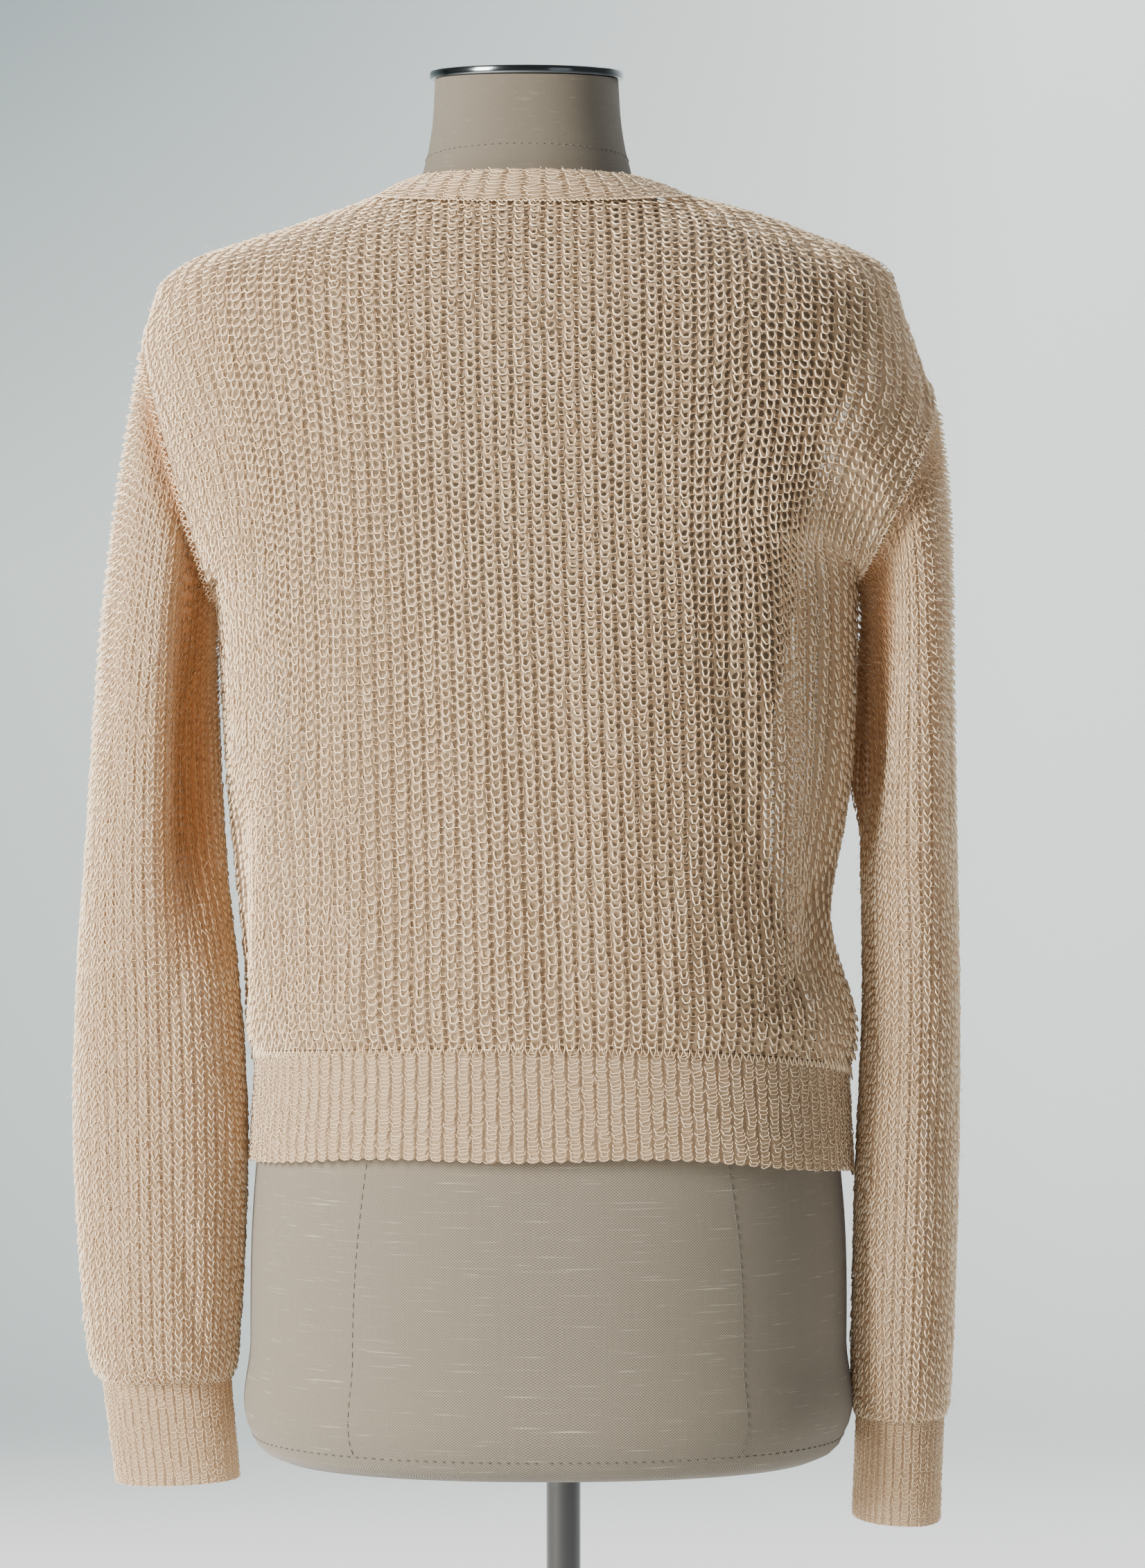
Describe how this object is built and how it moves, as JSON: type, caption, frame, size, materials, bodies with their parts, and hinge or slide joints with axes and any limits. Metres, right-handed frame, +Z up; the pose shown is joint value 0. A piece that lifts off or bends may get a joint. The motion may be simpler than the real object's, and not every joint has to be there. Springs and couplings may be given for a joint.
{
  "type": "pullover sweater on a limbless dress form",
  "caption": "Loose open-knit mohair pullover with ribbed hem, cuffs and neckband, worn by a linen-covered limbless dress form on a short pole and round base.",
  "frame": {"origin": "middle of the underside of the stand's round base", "axes": "+Z up along the pole; the back of the pullover faces -Y; the wearer's right is +X"},
  "size_m": [0.4921, 0.3, 1.0024],
  "materials": {
    "mohair_knit": "open fisherman's rib in a hairy pale peach mohair blend",
    "linen_cover": "plain-woven slubby linen stretched over the form",
    "polished_steel": "polished dark metal",
    "black_lacquer": "black lacquer, half gloss"
  },
  "bodies": {
    "root": {"back_panel": "mohair_knit", "front_panel": "mohair_knit", "hem_back": "mohair_knit", "hem_front": "mohair_knit", "neckband": "mohair_knit", "sleeve_left": "mohair_knit", "cuff_left": "mohair_knit", "sleeve_right": "mohair_knit", "cuff_right": "mohair_knit", "form_torso": "linen_cover", "neck_cap": "polished_steel", "pole": "black_lacquer", "base": "black_lacquer"}
  },
  "joints": []
}
